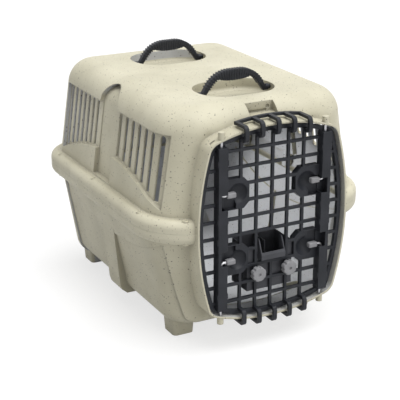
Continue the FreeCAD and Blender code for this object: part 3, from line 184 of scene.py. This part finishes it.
def math_node(tree, operation, a, b):
    return add(tree, "ShaderNodeMath", {0: a, 1: b}, operation=operation).outputs[0]


def vector_node(tree, operation, *inputs):
    made = add(tree, "ShaderNodeVectorMath", dict(enumerate(inputs)), operation=operation)
    return made.outputs["Value" if operation == "DOT_PRODUCT" else "Vector"]


def mix(tree, share, a, b):
    made = add(tree, "ShaderNodeMix", {0: share, 6: a, 7: b}, data_type="RGBA")
    return made.outputs[2]


def spread(tree, value, span, onto=FULL):
    """Map one span of values onto another, held at its ends."""
    made = add(tree, "ShaderNodeMapRange", {0: value, 1: span[0], 2: span[1], 3: onto[0], 4: onto[1]})
    return made.outputs[0]


def noise(tree, place, size, detail=3.0):
    """Noise whose features are about the given size."""
    made = add(tree, "ShaderNodeTexNoise", {"Vector": place, "Scale": 1.0 / size, "Detail": detail})
    return made.outputs[0]


def specks(tree, place, spacing, radius, share):
    """Mask of round specks: one in each cell of the spacing, in the given share of the cells."""
    cells = add(tree, "ShaderNodeTexVoronoi", {"Vector": place, "Scale": 1.0 / spacing})
    parts = add(tree, "ShaderNodeSeparateColor", {0: cells.outputs["Color"]})
    largest = radius / spacing
    reach = spread(tree, parts.outputs[1], FULL, (SMALLEST_SPECK * largest, largest))
    inside = math_node(tree, "LESS_THAN", cells.outputs["Distance"], reach)
    chosen = math_node(tree, "LESS_THAN", parts.outputs[0], share)
    return math_node(tree, "MULTIPLY", inside, chosen)


def edges(tree, radius):
    """Rounded normal for hard edges, and a mask that is 1 along them."""
    soft = add(tree, "ShaderNodeBevel", {"Radius": radius}, samples=EDGE_SAMPLES).outputs[0]
    plain = add(tree, "ShaderNodeNewGeometry").outputs["Normal"]
    return soft, spread(tree, vector_node(tree, "DOT_PRODUCT", soft, plain), EDGE_SPAN)


def turned_inwards(tree):
    """Mask that is 1 where a face looks towards the middle of the cabin."""
    point = add(tree, "ShaderNodeNewGeometry")
    inwards = vector_node(tree, "SUBTRACT", CABIN_MIDDLE, point.outputs["Position"])
    unit = vector_node(tree, "NORMALIZE", inwards)
    return spread(tree, vector_node(tree, "DOT_PRODUCT", unit, point.outputs["Normal"]), INSIDE_SPAN)


def closed_in(tree, reach, span, share, **settings):
    """Mask that rises to the share where faces within reach close a place in."""
    shade = add(tree, "ShaderNodeAmbientOcclusion", {"Distance": reach}, **settings)
    return spread(tree, shade.outputs["AO"], span, (share, 0.0))


def grained(tree, place, normal, size, depth, strength):
    """The normal, roughened by a fine grain."""
    grain = noise(tree, place, size, GRAIN_DETAIL)
    inputs = {"Strength": strength, "Distance": depth, "Height": grain, "Normal": normal}
    return add(tree, "ShaderNodeBump", inputs).outputs[0]


def uneven_gloss(tree, place, size, roughness):
    """Roughness that drifts between two values."""
    return spread(tree, noise(tree, place, size), GLOSS_SPAN, roughness)


def new_material(name):
    made = bpy.data.materials.new(name)
    tree = empty_tree(made)
    surface = add(tree, "ShaderNodeBsdfPrincipled")
    add(tree, "ShaderNodeOutputMaterial", {"Surface": surface.outputs[0]})
    place = add(tree, "ShaderNodeTexCoord").outputs["Object"]
    return made, tree, surface, place


def set_surface(tree, surface, colour, roughness, normal):
    tree.links.new(colour, surface.inputs["Base Color"])
    tree.links.new(roughness, surface.inputs["Roughness"])
    tree.links.new(normal, surface.inputs["Normal"])


def speckled_plastic(name, edge_radius):
    """Pale moulded plastic with dark specks in it, a fine matte grain, paler edges, painted shade in hollows and
    creases, and painted bluish shade on faces turned into the cabin.
    """
    made, tree, surface, place = new_material(name)
    normal, edge = edges(tree, edge_radius)
    cloud = spread(tree, noise(tree, place, SHELL_CLOUD_SIZE), SHELL_CLOUD_SPAN)
    colour = mix(tree, cloud, CREAM, CREAM_DULL)
    # Painted shade in hollows and recesses, by how closed in each place is
    colour = mix(tree, closed_in(tree, **HOLLOW_SHADE), colour, CREAM_PAINTED_SHADE)
    # Painted shade: faces turned into the cabin take a bluish grey
    colour = mix(tree, turned_inwards(tree), colour, CABIN_PAINTED_SHADE)
    colour = mix(tree, math_node(tree, "MULTIPLY", edge, SHELL_EDGE_SHARE), colour, CREAM_PALE)
    for spacing, radius, share, tint in SPECK_LAYERS:
        colour = mix(tree, specks(tree, place, spacing, radius, share), colour, tint)
    # Painted shade darkens narrow creases and slots
    colour = mix(tree, closed_in(tree, **CREASE_SHADE), colour, CREASE_PAINTED_SHADE)
    roughness = uneven_gloss(tree, place, SHELL_GLOSS_SIZE, SHELL_ROUGHNESS)
    set_surface(tree, surface, colour, roughness, grained(tree, place, normal, **SHELL_GRAIN))
    surface.inputs["Specular IOR Level"].default_value = SHELL_SPECULAR
    return made


def satin_plastic(name, colours, edge_radius):
    """Coloured moulded plastic with a fine grain, slight mottling and rubbed edges."""
    base, other, worn = colours
    made, tree, surface, place = new_material(name)
    normal, edge = edges(tree, edge_radius)
    cloud = spread(tree, noise(tree, place, SATIN_CLOUD_SIZE), SATIN_CLOUD_SPAN)
    colour = mix(tree, cloud, base, other)
    scuffs = spread(tree, noise(tree, place, SCUFF_SIZE), SCUFF_SPAN, SCUFF_SHARES)
    colour = mix(tree, math_node(tree, "MULTIPLY", edge, scuffs), colour, worn)
    roughness = uneven_gloss(tree, place, SATIN_GLOSS_SIZE, SATIN_ROUGHNESS)
    set_surface(tree, surface, colour, roughness, grained(tree, place, normal, **SATIN_GRAIN))
    surface.inputs["Specular IOR Level"].default_value = SATIN_SPECULAR
    return made


def drawn_steel(name, streak):
    """Bare metal with fine lines along its length."""
    made, tree, surface, place = new_material(name)
    stretched = add(tree, "ShaderNodeMapping", {"Vector": place, "Scale": streak}).outputs[0]
    lines = noise(tree, stretched, 1.0 / LINE_SCALE, GRAIN_DETAIL)
    colour = mix(tree, spread(tree, lines, LINE_SPAN), STEEL_DULL, STEEL)
    bump = add(tree, "ShaderNodeBump", {"Strength": LINE_STRENGTH, "Distance": LINE_DEPTH, "Height": lines})
    roughness = spread(tree, lines, GLOSS_SPAN, STEEL_ROUGHNESS)
    set_surface(tree, surface, colour, roughness, bump.outputs[0])
    surface.inputs["Metallic"].default_value = 1.0
    return made


finishes = {
    "cream_shell": speckled_plastic("speckled_cream", SHELL_EDGE),
    "screw_plastic": speckled_plastic("screw_cream", SCREW_EDGE),
    "charcoal_plastic": satin_plastic(
        "charcoal_satin", (CHARCOAL, CHARCOAL_PALE, CHARCOAL_WORN), CHARCOAL_EDGE
    ),
    "grey_plastic": satin_plastic("grey_satin", (GREY, GREY_DULL, GREY_WORN), GREY_EDGE),
    "bolt_steel": drawn_steel("drawn_rod", ROD_STREAK),
    "spring_steel": drawn_steel("spring_wire", WIRE_STREAK),
}
cup_finish = satin_plastic("cup_satin", (CUP, CUP_PALE, CHARCOAL_WORN), CHARCOAL_EDGE)
for part in frame["record"]["subparts"]:
    shown = frame["nodes"][part["node"]]
    shown.data.materials.clear()
    is_cup = part["node"] == "feed_cup"
    shown.data.materials.append(cup_finish if is_cup else finishes[part["material_slot"]])


# Springs: a copy of each coil, carried with its latch
def shortening_spring(corner):
    node = frame["nodes"][corner + "_spring"]
    coil = placed(corner + "_spring_coil", node.data.copy())
    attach(coil, corner + "_latch")
    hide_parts(corner + "_spring")
    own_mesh(coil)


for joint in frame["joints"]:
    if joint["type"] == "slide":
        shortening_spring(joint["name"].removesuffix("_slide"))


# Stage: a floor that is white to the camera, keeps a faint shadow and throws less light back up
def seen_directly(tree):
    """1 for the camera, reflections and light passing through; 0 for light on its way between surfaces."""
    path = add(tree, "ShaderNodeLightPath")
    seen = math_node(tree, "MAXIMUM", path.outputs["Is Camera Ray"], path.outputs["Is Glossy Ray"])
    return math_node(tree, "MAXIMUM", seen, path.outputs["Is Transmission Ray"])


def white_floor():
    mesh = bpy.data.meshes.new("floor")
    signs = ((-1, -1), (1, -1), (1, 1), (-1, 1))
    mesh.from_pydata([(x * FLOOR_HALF, y * FLOOR_HALF, 0) for x, y in signs], [], [(0, 1, 2, 3)])
    floor = placed("floor", mesh)
    material = bpy.data.materials.new("floor_white")
    tree = empty_tree(material)
    seen = seen_directly(tree)
    colour = mix(tree, seen, FLOOR_BOUNCE, FLOOR_SEEN)
    paint = add(tree, "ShaderNodeBsdfDiffuse", {"Color": colour})
    strength = math_node(tree, "MULTIPLY", seen, FLOOR_GLOW)
    glow = add(tree, "ShaderNodeEmission", {"Color": WHITE, "Strength": strength})
    both = add(tree, "ShaderNodeAddShader", {0: paint.outputs[0], 1: glow.outputs[0]})
    add(tree, "ShaderNodeOutputMaterial", {"Surface": both.outputs[0]})
    mesh.materials.append(material)


def aimed(name, data, place, aim):
    """Lamp at a place, turned to its aim and hidden from the camera."""
    lamp = placed(name, data)
    lamp.location = place
    lamp.visible_camera = False
    offset = [a - p for a, p in zip(aim, place)]
    flat = math.hypot(offset[0], offset[1])
    lamp.rotation_euler = (math.atan2(flat, -offset[2]), 0.0, math.atan2(-offset[0], offset[1]))


def overhead_light():
    data = bpy.data.lights.new("overhead", "SUN")
    data.energy = OVERHEAD_STRENGTH
    data.angle = math.radians(OVERHEAD_ANGLE)
    aimed("overhead", data, OVERHEAD_PLACE, (0.0, 0.0, 0.0))


def front_light():
    data = bpy.data.lights.new("front", "AREA")
    data.shape = "DISK"
    data.size = FRONT_SIZE
    data.energy = FRONT_WATTS
    aimed("front", data, FRONT_PLACE, FRONT_AIM)


def cabin_light():
    """Lamp inside the cabin, kept off the vents."""
    data = bpy.data.lights.new("cabin", "SPOT")
    data.spot_size = math.radians(CABIN_CONE)
    data.spot_blend = CABIN_BLEND
    data.shadow_soft_size = CABIN_SIZE
    data.energy = CABIN_WATTS
    aimed("cabin", data, CABIN_PLACE, CABIN_AIM)


def white_world():
    """White where it is seen directly, and weaker even light on everything else."""
    world = bpy.data.worlds.new("studio")
    bpy.context.scene.world = world
    tree = empty_tree(world)
    level = spread(tree, seen_directly(tree), FULL, (WORLD_STRENGTH, 1.0))
    sky = add(tree, "ShaderNodeBackground", {"Color": WHITE, "Strength": level})
    add(tree, "ShaderNodeOutputWorld", {"Surface": sky.outputs[0]})


def photo_camera():
    data = bpy.data.cameras.new("photo_camera")
    data.sensor_width = CAMERA_SENSOR
    data.lens = CAMERA_LENS
    camera = placed("photo_camera", data)
    camera.location = CAMERA_PLACE
    camera.rotation_euler = [math.radians(a) for a in CAMERA_TURN]
    bpy.context.scene.camera = camera


white_floor()
white_world()
overhead_light()
front_light()
cabin_light()
photo_camera()
bpy.context.scene.view_settings.view_transform = "Standard"
